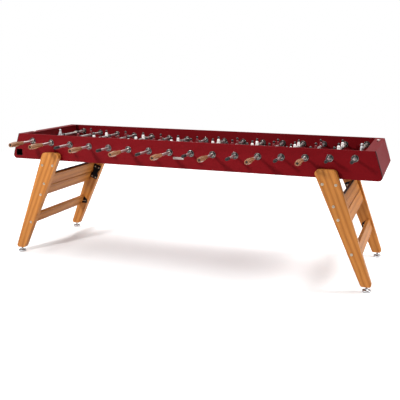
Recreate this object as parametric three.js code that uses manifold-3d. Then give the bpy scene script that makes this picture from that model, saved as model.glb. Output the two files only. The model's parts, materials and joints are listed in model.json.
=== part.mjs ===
// Long foosball table for up to eight players a side: a sheet-steel cabinet on four splayed
// wooden legs, with sixteen rods that slide and spin over a dished playfield.
//
// Millimetres, +Z up. X runs along the table, Y along the rods, and the floor is z = 0 under
// the middle of the table. The whole table looks the same after half a turn about Z, so each
// end, side and team is modelled once and its partner is the same shape in a turned group.
import * as THREE from 'three';
import { mergeVertices } from 'three/addons/utils/BufferGeometryUtils.js';
import Module from 'manifold-3d';

const wasm = await Module();
wasm.setup();

// ---------- driving dimensions ----------
const GAP = 0.3; // clearance between pieces that touch
const SHEET = 3; // folded steel sheet

// cabinet
const CABINET_HALF_WIDTH = 368; // outside of the side panels
const PANEL = 8; // side panel thickness
const INNER_HALF_WIDTH = CABINET_HALF_WIDTH - PANEL;
const RIM_Z = 867.2;
const BASE_Z = 687.1;
const RIM_HALF_LENGTH = 1243;
const BASE_HALF_LENGTH = 1302.6; // where the sloping end would meet the base
const CORNER_R = 25; // lower corner of the ends
const FOLD_R = 6; // fold between deck and sloping end
const DECK_EDGE_X = 1183; // inner edge of the end decks
const GOAL_WALL_X = 1193; // playing face of the end wall, set back under the deck
const BASE_FOLD_X = 1240; // where the end sheet stops under the cabinet

// rods: number, pitch and the shallow dish that they follow
const ROD_PITCH = 150;
const ROD_COUNT = 16;
const ROD_MID_Z = 792; // axis height at the middle of the table
const ROD_RISE = 26; // how much higher the outermost rods are
const ROD_R = 8;
const OUTER_ROD_X = (ROD_PITCH * (ROD_COUNT - 1)) / 2;
const FACETS = 10;

// each team's rods, counted from its own goal: place along the table, figures, rest offset
const TEAM_PLACES = [1, 2, 4, 6, 8, 10, 12, 14];
const TEAM_FIGURES = [1, 3, 4, 4, 4, 4, 4, 3];
const REST_OFFSETS = [
  [0, 6, 13, -2, -22, 6, 6, 18],
  [-1, -13, 9, 9, -22, 27, -8, 22],
];
const FIGURE_SPACING = { 1: 0, 3: 200, 4: 130 };
const FIGURE_THICKNESS = 24;
const FIGURE_REACH = 65.5; // rod axis to the sole
const FIGURE_HEIGHT = 49.5; // rod axis to the top of the head
const FIELD_DROP = 74; // rod axis to the playfield

// along a rod, from the outside of the cabinet when the rod is centred
const GRIP_OUT = 268;
const GRIP_LENGTH = 142;
const CAP_OUT = 176;
const CAP_LENGTH = 50;
const CAP_R = 10.5;
const BUMPER_INNER = 218;
const BUMPER_OUTER = 242;
const BUMPER_R = 15;

// bearings
const BUSH_R = 11.5;
const BUSH_BORE_R = 8.45;
const BUSH_HOLE_R = 12.5;
const ROD_HOLE_R = 8.8;
const BUSH_INNER_Y = 356;
const BUSH_OUTER_Y = 378;

// ball return: square mouth low on a side panel, fed by a chute behind the goal
const MOUTH = { x0: -1267, x1: -1218, z0: 710, z1: 755, r: 5 };
const GOAL_HALF_WIDTH = 110;
const GOAL_HEIGHT = 72;
const CHUTE_OUTER_X = 1275;
const CHUTE_LIP = 12;
const CHUTE_SLOPE = Math.atan(25 / 718);

// playfield and floor pan
const FIELD_THICKNESS = 8;
const FIELD_STEPS = 24;
const PAN_FLANGE = 14;

// score marker, sliding in a slot in the deck
const MARKER_X = 1213;
const MARKER_Y = 210;
const SLOT_HALF_LENGTH = 92;
const SLOT_HALF_WIDTH = 3.3;

// legs: tapered planks outside the side panels, leaning outwards
const LEG_INNER_Y = 374;
const LEG_THICKNESS = 42;
const LEG_TOP = { z: 745, x: 950.9, half: 70.5, r: 26 };
const LEG_BOTTOM = { z: 33, x: 1241.8, half: 34.9, r: 16 };
const LEG_SLOPE = Math.atan2(LEG_BOTTOM.x - LEG_TOP.x, LEG_TOP.z - LEG_BOTTOM.z);

// rails between the legs: distance down the leg's centre line, and outward from it
const RAIL_THICKNESS = 26;
const RAILS = [
  { name: 'upper_rail_high', from: 200, to: 285, out: 26 },
  { name: 'upper_rail_low', from: 289, to: 367, out: 26 },
  { name: 'lower_rail', from: 514, to: 588, out: 17 },
];

// steel cross beam that carries each pair of legs under the cabinet
const BEAM = { x: 988, half: 25, drop: 12, wall: 4 };
const BEAM_PLATE = { y0: 368.3, y1: 373.7, z0: 628, z1: 718, inset: 9 };

// levelling foot
const FOOT_X = 1241.5;
const FOOT_R = 27.5;
const STEM_R = 5.5;
const STEM_TOP = 58;
const STEM_HOLE = { r: 6.2, top: 61 };

// ---------- materials ----------
const finish = (color, roughness, metalness) =>
  new THREE.MeshStandardMaterial({ color, roughness, metalness });
const RED = finish(0x74161d, 0.45, 0.2);
const DARK_RED = finish(0x5a1016, 0.5, 0.2);
const TEAK = finish(0xc08040, 0.6, 0);
const STEEL = finish(0xb9bcc0, 0.25, 1);
const BLACK_STEEL = finish(0x18181a, 0.5, 0.4);
const BRASS = finish(0xb08d4a, 0.35, 0.9);
const LIGHT_PLASTIC = finish(0xe8ded8, 0.4, 0);

// ---------- geometry helpers ----------
const v2 = (x, y) => new THREE.Vector2(x, y);

/** Outline through the corners, each rounded by its own radius (0 leaves it sharp). */
function roundedShape(corners, radii) {
  const shape = new THREE.Shape();
  const n = corners.length;
  corners.forEach((corner, i) => {
    const back = corners[(i + n - 1) % n].clone().sub(corner).normalize();
    const on = corners[(i + 1) % n].clone().sub(corner).normalize();
    const r = radii[i];
    if (r === 0) {
      if (i === 0) shape.moveTo(corner.x, corner.y);
      else shape.lineTo(corner.x, corner.y);
      return;
    }
    const half = back.angleTo(on) / 2;
    const centre = back.clone().add(on).normalize().multiplyScalar(r / Math.sin(half)).add(corner);
    const start = back.clone().multiplyScalar(r / Math.tan(half)).add(corner).sub(centre);
    const end = on.clone().multiplyScalar(r / Math.tan(half)).add(corner).sub(centre);
    if (i === 0) shape.moveTo(centre.x + start.x, centre.y + start.y);
    const clockwise = back.cross(on) > 0;
    shape.absarc(centre.x, centre.y, r, start.angle(), end.angle(), clockwise);
  });
  return shape;
}

function circleHole(x, y, r, facets = FACETS) {
  const corners = [];
  for (let i = 0; i < facets; i++) {
    const a = (2 * Math.PI * i) / facets;
    corners.push(v2(x + r * Math.sin(a), y + r * Math.cos(a)));
  }
  return new THREE.Path(corners);
}

const rectangle = (x0, y0, x1, y1, r = 0) =>
  roundedShape([v2(x0, y0), v2(x1, y0), v2(x1, y1), v2(x0, y1)], [r, r, r, r]);

const ARC_STEPS = 5;
const extrude = (shape, depth) =>
  new THREE.ExtrudeGeometry(shape, { depth, bevelEnabled: false, curveSegments: ARC_STEPS });

/** A shape drawn in X and Z, made solid from y0 to y1. */
function alongY(shape, y0, y1) {
  return extrude(shape, y1 - y0).rotateX(Math.PI / 2).translate(0, y1, 0);
}

/** A shape drawn in Y and Z, made solid from x0 to x1. */
function alongX(shape, x0, x1) {
  const turn = new THREE.Matrix4().makeBasis(
    new THREE.Vector3(0, 1, 0),
    new THREE.Vector3(0, 0, 1),
    new THREE.Vector3(1, 0, 0),
  );
  return extrude(shape, x1 - x0).applyMatrix4(turn).translate(x0, 0, 0);
}

/** A shape drawn in X and Y, made solid from z0 to z1. */
const alongZ = (shape, z0, z1) => extrude(shape, z1 - z0).translate(0, 0, z0);

function toManifold(geometry) {
  const bare = geometry.clone();
  bare.deleteAttribute('normal');
  bare.deleteAttribute('uv');
  const merged = mergeVertices(bare, 1e-4);
  return new wasm.Manifold(
    new wasm.Mesh({
      numProp: 3,
      vertProperties: new Float32Array(merged.attributes.position.array),
      triVerts: new Uint32Array(merged.index.array),
    }),
  );
}

function toGeometry(manifold) {
  const mesh = manifold.getMesh();
  const geometry = new THREE.BufferGeometry();
  geometry.setAttribute('position', new THREE.BufferAttribute(mesh.vertProperties, 3));
  geometry.setIndex(new THREE.BufferAttribute(mesh.triVerts, 1));
  geometry.computeVertexNormals();
  return geometry;
}

const join = (...parts) => toGeometry(parts.map(toManifold).reduce((a, b) => a.add(b)));
const cut = (body, tool) => toGeometry(toManifold(body).subtract(toManifold(tool)));

function mesh(name, geometry, material) {
  const piece = new THREE.Mesh(geometry, material);
  piece.name = name;
  return piece;
}

const lathe = (points, facets = FACETS) => new THREE.LatheGeometry(points, facets);

// ---------- places along the table ----------
const rodX = (place) => (place - 1) * ROD_PITCH - OUTER_ROD_X;
const rodZ = (x) => ROD_MID_Z + ROD_RISE * (x / OUTER_ROD_X) ** 2;
const fieldZ = (x) => rodZ(x) - FIELD_DROP;

// ---------- cabinet ----------
/** Near side panel: round holes for the rods and the square ball mouth. */
function sidePanel() {
  const outline = roundedShape(
    [
      v2(-RIM_HALF_LENGTH, RIM_Z),
      v2(-BASE_HALF_LENGTH, BASE_Z),
      v2(BASE_HALF_LENGTH, BASE_Z),
      v2(RIM_HALF_LENGTH, RIM_Z),
    ],
    [FOLD_R, CORNER_R, CORNER_R, FOLD_R],
  );
  for (let place = 1; place <= ROD_COUNT; place++) {
    const x = rodX(place);
    const radius = TEAM_PLACES.includes(place) ? BUSH_HOLE_R : ROD_HOLE_R;
    outline.holes.push(circleHole(x, rodZ(x), radius));
  }
  outline.holes.push(rectangle(MOUTH.x0, MOUTH.z0, MOUTH.x1, MOUTH.z1, MOUTH.r));
  return alongY(outline, -CABINET_HALF_WIDTH, -INNER_HALF_WIDTH);
}

/** One sheet folded into the deck, the sloping end and a short return under the cabinet. */
function endPanel() {
  const lean = Math.atan2(RIM_Z - BASE_Z, BASE_HALF_LENGTH - RIM_HALF_LENGTH);
  const foldShift = SHEET * Math.tan(lean / 2);
  const baseShift = SHEET / Math.tan(lean / 2);
  const deckEdge = -DECK_EDGE_X;
  const outline = roundedShape(
    [
      v2(deckEdge, RIM_Z),
      v2(-RIM_HALF_LENGTH, RIM_Z),
      v2(-BASE_HALF_LENGTH, BASE_Z),
      v2(-BASE_FOLD_X, BASE_Z),
      v2(-BASE_FOLD_X, BASE_Z + SHEET),
      v2(-BASE_HALF_LENGTH + baseShift, BASE_Z + SHEET),
      v2(-RIM_HALF_LENGTH + foldShift, RIM_Z - SHEET),
      v2(deckEdge, RIM_Z - SHEET),
    ],
    [0, FOLD_R, CORNER_R, 0, 0, CORNER_R - SHEET, FOLD_R - SHEET, 0],
  );
  const side = INNER_HALF_WIDTH - GAP;
  const slot = alongZ(
    rectangle(
      -MARKER_X - SLOT_HALF_WIDTH,
      -MARKER_Y - SLOT_HALF_LENGTH,
      -MARKER_X + SLOT_HALF_WIDTH,
      -MARKER_Y + SLOT_HALF_LENGTH,
      SLOT_HALF_WIDTH - GAP,
    ),
    RIM_Z - 2 * SHEET,
    RIM_Z + SHEET,
  );
  return cut(alongY(outline, -side, side), slot);
}

/** Flat end wall of the playing space, with the goal cut through it down to the field. */
function goalWall() {
  const side = INNER_HALF_WIDTH - GAP;
  const outline = rectangle(-side, BASE_Z + PAN_FLANGE + GAP, side, RIM_Z - SHEET - GAP);
  const sill = fieldZ(GOAL_WALL_X);
  outline.holes.push(
    rectangle(-GOAL_HALF_WIDTH, sill, GOAL_HALF_WIDTH, sill + GOAL_HEIGHT, FOLD_R),
  );
  return alongX(outline, -GOAL_WALL_X - SHEET, -GOAL_WALL_X);
}

/** Sloping chute behind the goal, with a lip that keeps the ball off the end sheet. */
function ballChute() {
  const inner = -GOAL_WALL_X - SHEET - GAP;
  const outline = new THREE.Shape([
    v2(inner, -SHEET),
    v2(inner, 0),
    v2(-CHUTE_OUTER_X + SHEET, 0),
    v2(-CHUTE_OUTER_X + SHEET, CHUTE_LIP),
    v2(-CHUTE_OUTER_X, CHUTE_LIP),
    v2(-CHUTE_OUTER_X, -SHEET),
  ]);
  const half = INNER_HALF_WIDTH - 4 * GAP;
  return alongY(outline, -half, half);
}

/** Playfield: an even strip that rises towards both goals. */
function playfield() {
  const half = GOAL_WALL_X - GAP;
  const top = [];
  for (let i = 0; i <= FIELD_STEPS; i++) {
    const x = half * ((2 * i) / FIELD_STEPS - 1);
    top.push(v2(x, fieldZ(x)));
  }
  const bottom = top.map((p) => v2(p.x, p.y - FIELD_THICKNESS)).reverse();
  const side = INNER_HALF_WIDTH - GAP;
  return alongY(new THREE.Shape([...top, ...bottom]), -side, side);
}

/** Shallow tray that closes the cabinet underneath. */
function floorPan() {
  const side = INNER_HALF_WIDTH - GAP;
  const outline = new THREE.Shape([
    v2(-side, BASE_Z),
    v2(side, BASE_Z),
    v2(side, BASE_Z + PAN_FLANGE),
    v2(side - SHEET, BASE_Z + PAN_FLANGE),
    v2(side - SHEET, BASE_Z + SHEET),
    v2(-side + SHEET, BASE_Z + SHEET),
    v2(-side + SHEET, BASE_Z + PAN_FLANGE),
    v2(-side, BASE_Z + PAN_FLANGE),
  ]);
  const half = BASE_FOLD_X - GAP;
  return alongX(outline, -half, half);
}

/** Score marker: a button on a shank, held by a keeper under the deck. */
function scoreMarker() {
  const shank = SLOT_HALF_WIDTH - GAP;
  const outline = new THREE.Shape([
    v2(-7, -SHEET - GAP - 2.5),
    v2(7, -SHEET - GAP - 2.5),
    v2(7, -SHEET - GAP),
    v2(shank, -SHEET - GAP),
    v2(shank, GAP),
    v2(10, GAP),
    v2(10, 5),
    v2(-10, 5),
    v2(-10, GAP),
    v2(-shank, GAP),
    v2(-shank, -SHEET - GAP),
    v2(-7, -SHEET - GAP),
  ]);
  return alongY(outline, -7, 7);
}

// ---------- rods ----------
/** Rod, wooden grip, rubber bumpers and end cap: everything that is round about the axis. */
function rodBody() {
  const gripEnd = -(CABINET_HALF_WIDTH + GRIP_OUT);
  const gripStart = gripEnd + GRIP_LENGTH;
  const capEnd = CABINET_HALF_WIDTH + CAP_OUT;
  const capStart = capEnd - CAP_LENGTH;
  return lathe([
    v2(0, gripEnd),
    v2(14, gripEnd),
    v2(18, gripEnd + 0.35 * GRIP_LENGTH),
    v2(12.5, gripStart),
    v2(ROD_R, gripStart),
    v2(ROD_R, -BUMPER_OUTER),
    v2(BUMPER_R, -BUMPER_OUTER),
    v2(BUMPER_R, -BUMPER_INNER),
    v2(ROD_R, -BUMPER_INNER),
    v2(ROD_R, BUMPER_INNER),
    v2(BUMPER_R, BUMPER_INNER),
    v2(BUMPER_R, BUMPER_OUTER),
    v2(ROD_R, BUMPER_OUTER),
    v2(ROD_R, capStart),
    v2(CAP_R, capStart),
    v2(CAP_R, capEnd),
    v2(0, capEnd),
  ]);
}

/** A player seen from the side: boots, legs, shirt and head, with the rod through the hips. */
function figure() {
  const half = [
    [9, -FIGURE_REACH],
    [6, -42],
    [11, -8],
    [11, 28],
    [7, FIGURE_HEIGHT],
  ];
  const right = half.map(([x, z]) => v2(x, z));
  const left = half.map(([x, z]) => v2(-x, z)).reverse();
  return alongY(new THREE.Shape([...right, ...left]), -FIGURE_THICKNESS / 2, FIGURE_THICKNESS / 2);
}

function rod(figures) {
  const spacing = FIGURE_SPACING[figures];
  const players = Array.from({ length: figures }, (_, i) =>
    figure().translate(0, (i - (figures - 1) / 2) * spacing, 0),
  );
  return join(rodBody(), ...players);
}

/** Sleeve that turns in the side panel while the rod slides through it. */
const bush = () =>
  lathe([
    v2(BUSH_BORE_R, -BUSH_OUTER_Y),
    v2(BUSH_R, -BUSH_OUTER_Y),
    v2(BUSH_R, -BUSH_INNER_Y),
    v2(BUSH_BORE_R, -BUSH_INNER_Y),
    v2(BUSH_BORE_R, -BUSH_OUTER_Y),
  ]);

// ---------- legs ----------
const legShare = (z) => (LEG_TOP.z - z) / (LEG_TOP.z - LEG_BOTTOM.z);
const legX = (z) => LEG_TOP.x + (LEG_BOTTOM.x - LEG_TOP.x) * legShare(z);
const legHalf = (z) => LEG_TOP.half + (LEG_BOTTOM.half - LEG_TOP.half) * legShare(z);

/** Outline of the leg between two heights, drawn in by an inset. */
function legOutline(z0, z1, inset, radii) {
  const reach = (z) => legHalf(z) - inset;
  return roundedShape(
    [
      v2(legX(z0) - reach(z0), z0),
      v2(legX(z0) + reach(z0), z0),
      v2(legX(z1) + reach(z1), z1),
      v2(legX(z1) - reach(z1), z1),
    ],
    radii,
  );
}

/** Tapered plank with rounded corners and a blind hole for the levelling foot. */
function leg(side) {
  const radii = [LEG_BOTTOM.r, LEG_BOTTOM.r, LEG_TOP.r, LEG_TOP.r];
  const outline = legOutline(LEG_BOTTOM.z, LEG_TOP.z, 0, radii);
  const y = [side * LEG_INNER_Y, side * (LEG_INNER_Y + LEG_THICKNESS)].sort((a, b) => a - b);
  const hole = alongZ(
    new THREE.Shape(circleHole(FOOT_X, footY(side), STEM_HOLE.r).getPoints()),
    0,
    STEM_HOLE.top,
  );
  return cut(alongY(outline, y[0], y[1]), hole);
}

const footY = (side) => side * (LEG_INNER_Y + LEG_THICKNESS / 2);

/** Levelling foot: pad, nut and threaded stem, standing on the floor. */
function foot() {
  return lathe([
    v2(0, 0),
    v2(FOOT_R, 0),
    v2(FOOT_R, 9),
    v2(12, 14),
    v2(12, 21),
    v2(STEM_R, 21),
    v2(STEM_R, STEM_TOP),
    v2(0, STEM_TOP),
  ]).rotateX(Math.PI / 2);
}

/** Board across a pair of legs, set square to the lean of the legs. */
function rail({ from, to }) {
  const length = 2 * (LEG_INNER_Y - GAP);
  return new THREE.BoxGeometry(RAIL_THICKNESS, length, to - from);
}

function placeRail(piece, { from, to, out }) {
  const down = (from + to) / 2;
  piece.position.set(
    LEG_TOP.x + down * Math.sin(LEG_SLOPE) + out * Math.cos(LEG_SLOPE),
    0,
    LEG_TOP.z - down * Math.cos(LEG_SLOPE) + out * Math.sin(LEG_SLOPE),
  );
  piece.rotation.y = -LEG_SLOPE;
  return piece;
}

/** Channel under the cabinet with an end plate behind the top of each leg. */
function crossBeam() {
  const top = BASE_Z - GAP;
  const { x, half, drop, wall } = BEAM;
  const channel = new THREE.Shape([
    v2(x - half, top - drop),
    v2(x - half + wall, top - drop),
    v2(x - half + wall, top - wall),
    v2(x + half - wall, top - wall),
    v2(x + half - wall, top - drop),
    v2(x + half, top - drop),
    v2(x + half, top),
    v2(x - half, top),
  ]);
  const plate = legOutline(BEAM_PLATE.z0, BEAM_PLATE.z1, BEAM_PLATE.inset, [0, 0, 0, 0]);
  return join(
    alongY(channel, -BEAM_PLATE.y0 - 1, BEAM_PLATE.y0 + 1),
    alongY(plate, BEAM_PLATE.y0, BEAM_PLATE.y1),
    alongY(plate, -BEAM_PLATE.y1, -BEAM_PLATE.y0),
  );
}

// ---------- assembly ----------
const table = new THREE.Group();
const twoDigits = (n) => String(n).padStart(2, '0');

table.add(mesh('playfield', playfield(), DARK_RED));
table.add(mesh('floor_pan', floorPan(), RED));

// halves[0] is as drawn; halves[1] is turned half round, for the other side, end and team
const halves = [new THREE.Group(), new THREE.Group()];
halves[1].rotation.z = Math.PI;
table.add(...halves);

halves.forEach((half, turned) => {
  const sideName = ['near', 'far'][turned];
  const goalName = ['left', 'right'][turned];
  const legName = ['right', 'left'][turned];

  half.add(mesh(`side_panel_${sideName}`, sidePanel(), RED));
  half.add(mesh(`end_panel_${goalName}`, endPanel(), RED));
  half.add(mesh(`goal_wall_${goalName}`, goalWall(), DARK_RED));

  const chute = mesh(`ball_chute_${goalName}`, ballChute(), BLACK_STEEL);
  chute.position.z = MOUTH.z0 + INNER_HALF_WIDTH * Math.tan(CHUTE_SLOPE);
  chute.rotation.x = CHUTE_SLOPE;
  half.add(chute);

  const marker = mesh(`score_marker_${goalName}`, scoreMarker(), LIGHT_PLASTIC);
  marker.position.set(-MARKER_X, -MARKER_Y, RIM_Z);
  half.add(marker);

  TEAM_PLACES.forEach((teamPlace, i) => {
    const place = turned ? ROD_COUNT + 1 - teamPlace : teamPlace;
    const x = rodX(teamPlace);
    const shaft = mesh(`rod_${twoDigits(place)}`, rod(TEAM_FIGURES[i]), STEEL);
    shaft.position.set(x, REST_OFFSETS[turned][i], rodZ(x));
    const sleeve = mesh(`bush_${twoDigits(place)}`, bush(), BRASS);
    sleeve.position.set(x, 0, rodZ(x));
    half.add(shaft, sleeve);
  });

  [-1, 1].forEach((side) => {
    // the turned half swaps near and far
    const corner = `${(side < 0) === !turned ? 'near' : 'far'}_${legName}`;
    half.add(mesh(`leg_${corner}`, leg(side), TEAK));
    const pad = mesh(`foot_${corner}`, foot(), STEEL);
    pad.position.set(FOOT_X, footY(side), 0);
    half.add(pad);
  });

  RAILS.forEach((board) => {
    half.add(placeRail(mesh(`${board.name}_${legName}`, rail(board), TEAK), board));
  });
  half.add(mesh(`cross_beam_${legName}`, crossBeam(), BLACK_STEEL));
});

export default table;
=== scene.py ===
"""Long foosball table: the fine surfaces and finishes of every piece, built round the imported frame.

Metres, +Z up. X runs along the table and Y along the rods. The near side is -Y.
"""

import json
import math

import bmesh
import bpy
from mathutils import Matrix, Vector


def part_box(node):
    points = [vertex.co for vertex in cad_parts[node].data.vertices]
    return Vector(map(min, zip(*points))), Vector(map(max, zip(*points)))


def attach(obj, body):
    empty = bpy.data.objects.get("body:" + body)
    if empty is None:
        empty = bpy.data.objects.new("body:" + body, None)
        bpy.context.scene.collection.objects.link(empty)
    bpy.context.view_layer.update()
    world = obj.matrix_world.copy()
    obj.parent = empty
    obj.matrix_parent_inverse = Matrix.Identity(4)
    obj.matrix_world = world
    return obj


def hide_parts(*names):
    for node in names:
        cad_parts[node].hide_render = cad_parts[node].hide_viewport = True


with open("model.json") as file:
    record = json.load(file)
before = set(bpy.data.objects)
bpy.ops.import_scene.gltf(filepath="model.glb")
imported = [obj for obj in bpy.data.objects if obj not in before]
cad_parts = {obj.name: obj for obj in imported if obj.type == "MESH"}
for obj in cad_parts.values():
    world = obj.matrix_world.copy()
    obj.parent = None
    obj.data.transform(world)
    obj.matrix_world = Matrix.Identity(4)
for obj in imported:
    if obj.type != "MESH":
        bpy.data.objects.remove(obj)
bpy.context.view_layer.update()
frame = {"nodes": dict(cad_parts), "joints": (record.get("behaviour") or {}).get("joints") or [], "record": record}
scene = bpy.context.scene

# ---- sizes read from the frame
NEAR_LOW, NEAR_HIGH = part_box("side_panel_near")
WALL_OUT, WALL_IN = -NEAR_LOW.y, -NEAR_HIGH.y
BASE_Z, RIM_Z = NEAR_LOW.z, NEAR_HIGH.z
OPENINGS = {opening["name"]: opening["box_m"] for opening in frame["record"]["physics"]["openings"]}
MOUTH_LOW, MOUTH_HIGH = (Vector(corner) for corner in OPENINGS["ball_return_mouth_left"])
BUSH_LOW, BUSH_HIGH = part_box("bush_01")
BUSH_R = (BUSH_HIGH.z - BUSH_LOW.z) / 2
MARKER_LOW, MARKER_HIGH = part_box("score_marker_left")
MARKER_X = (MARKER_LOW.x + MARKER_HIGH.x) / 2
MARKER_Y = (MARKER_LOW.y + MARKER_HIGH.y) / 2
LEG_LOW, LEG_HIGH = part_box("leg_far_right")
LEG_THICKNESS = LEG_HIGH.y - LEG_LOW.y
FOOT_LOW, FOOT_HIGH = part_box("foot_far_right")
FOOT_X = (FOOT_LOW.x + FOOT_HIGH.x) / 2
FOOT_Y = (FOOT_LOW.y + FOOT_HIGH.y) / 2
FOOT_R = (FOOT_HIGH.x - FOOT_LOW.x) / 2

# ---- driving dimensions
GAP = 0.0003  # between neighbouring pieces
SHEET = 0.003  # thickness of the cabinet's sheet metal
SHADE_STRIP = 0.0042  # thickness of the black strips at the panels' ends, which are painted shade for the dark seam line there

# cabinet ends
RIM_HALF_LENGTH = 1.243
BASE_HALF_LENGTH = 1.3026
CORNER_R = 0.025
FOLD_R = 0.006
DECK_EDGE_X = 1.183
GOAL_WALL_X = 1.193
BASE_FOLD_X = 1.240
GOAL_HALF_WIDTH = 0.110
GOAL_TOP = 0.8192
GOAL_SILL = 0.7472
SHADE_STRIP_RETURN = 0.040  # how far the black strip runs on under the panel
SHADE_STRIP_THINNING = 12  # how many times thinner it is there
SHADE_STRIP_SETBACK = 0.003  # how far it stays behind the panel's outer face
MOUTH_MARGIN = 0.002  # how far the ball mouth's hole is outside its opening, on each side
MOUTH_R = 0.005
LINER_EDGES = (0.0004, 0.0018)  # how far inside the hole the liner's two outlines are
LINER_DEPTH = 0.0095  # from the panel's inner face
SLOT_HALVES = (0.0033, 0.092)  # of the score marker's slot, along X and Y

# small plate on each side: two corners in X and Z, its rise, and how far in its rivets are
BADGE = (-0.050, 0.7475, 0.026, 0.7635)
BADGE_RISE = 0.0012
RIVET_INSET = 0.005

# playfield markings
PITCH_HALF_X, PITCH_HALF_Y = 1.170, 0.340
LINE = 0.003
CENTRE_CIRCLE_R, CENTRE_SPOT_R = 0.105, 0.008
GOAL_AREAS = ((0.110, 0.150), (0.250, 0.235))  # depth and half width

# rods; the grip and the cap reach out from the panels' outer faces
TEAM_FIGURES = (1, 3, 4, 4, 4, 4, 4, 3)  # from a team's own goal
FIGURE_SPACING = {1: 0.0, 3: 0.200, 4: 0.130}
ROD_R = 0.008
SLEEVE_PLAY = 0.00045
HOLE_R = 0.0125
GRIP_OUT = 0.268
GRIP_LENGTH = 0.142
CAP_OUT = 0.176
CAP_LENGTH = 0.050
BUMPER_INNER, BUMPER_OUTER = 0.218, 0.242  # from the rod's middle, its two washers included
BUMPER_R = 0.0150
WASHER, WASHER_R = 0.0018, 0.0138
GRIP_END, CAP_END = -WALL_OUT - GRIP_OUT, WALL_OUT + CAP_OUT

# figures, from the rod's axis
FIGURE_REACH = 0.0656
BOOT_TOP = -0.0525
SHORTS = (-0.0245, -0.0025)

# bearing flanges
FLANGE_R = 0.0225
HUB_R = 0.0132
FLANGE_FACES = {  # distance from the wall's face to the top of the disc and of the hub
    "outer": (0.0040, 0.0085),
    "inner": (0.0030, 0.0034),
}
SPOKE_ANGLES = (math.radians(90), math.radians(210), math.radians(330))
WINDOW_ARCS = ((0.0139, 40), (0.0197, 49))  # distance from the axis, half the angle it spans
FLANGE_BORES = (BUSH_R + 0.0003, ROD_R + 0.0004)  # round a sleeve, and round the bare rod
SCREW_REACH, SCREW_R, SCREW_RISE = 0.0186, 0.0024, 0.0016
GASKET, GASKET_LIFT = 0.0014, 0.0008  # its thickness, and how far it keeps the disc off the wall

# legs, as the right-hand ones stand: the bolts are at (X, Z)
LEG_TOP_X, LEG_TOP_Z, LEG_TOP_HALF, LEG_TOP_R = 0.9509, 0.745, 0.0705, 0.026
LEG_BOTTOM_X, LEG_BOTTOM_Z, LEG_BOTTOM_HALF, LEG_BOTTOM_R = 1.2418, 0.033, 0.0349, 0.016
LEG_SLOPE = math.atan2(LEG_BOTTOM_X - LEG_TOP_X, LEG_TOP_Z - LEG_BOTTOM_Z)
LEG_DOWN = Vector((math.sin(LEG_SLOPE), 0, -math.cos(LEG_SLOPE)))
LEG_OUTWARD = Vector((math.cos(LEG_SLOPE), 0, math.sin(LEG_SLOPE)))
STEM_HOLE_R, STEM_HOLE_TOP = 0.0061, 0.064
RAIL_THICKNESS = 0.026
RAILS = {  # start and end down the centre line, and distance outward from it
    "upper_rail_high": (0.200, 0.285, 0.026),
    "upper_rail_low": (0.289, 0.367, 0.026),
    "lower_rail": (0.514, 0.588, 0.017),
}
STRAP_FROM = 0.014  # across the top rail's edge, from the face towards the table's middle
BRACKET, BRACKET_EDGE = 0.003, 0.0006  # thickness of the steel brackets, and their edge radius
LEG_BOLTS = ((0.944, 0.656), (1.026, 0.656), (1.018, 0.523), (1.050, 0.441), (1.142, 0.232))

# studio
FLOOR_R = 6.0
FLOOR_GLOW = ((0.35, 0.25), (0.75, 0.8))  # share of the floor's radius, strength
WORLD_STRENGTH = 0.2
CAMERA_PLACE = (1.5368, -4.3097, 1.3856)
CAMERA_ANGLES = (19.496, 12.134, 0.406)  # degrees to the left of +Y, below level, and of roll
CAMERA_LENS, CAMERA_SENSOR = 58.35, 36.0
LAMPS = (  # name, place, aim, size and power
    ("key", (-2.1, -4.8, 2.8), (0, 0, 0.7), 0.5, 215),
    ("top", (-0.8, 0.6, 4.2), (0, 0, 0), 5.2, 290),
    ("right", (3.0, 0.7, 1.9), (1.2, 0, 0.6), 0.9, 60),
)

TURN = Matrix.Rotation(math.pi, 4, "Z")
HALVES = (("near", "left", "right", Matrix()), ("far", "right", "left", TURN))


# ---- materials
def srgb(red, green, blue):
    """Linear colour from 0 to 255 screen values."""
    def linear(value):
        value /= 255
        return value / 12.92 if value <= 0.04045 else ((value + 0.055) / 1.055) ** 2.4

    return (linear(red), linear(green), linear(blue), 1.0)


FINISHES = {}  # the material of each slot


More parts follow.
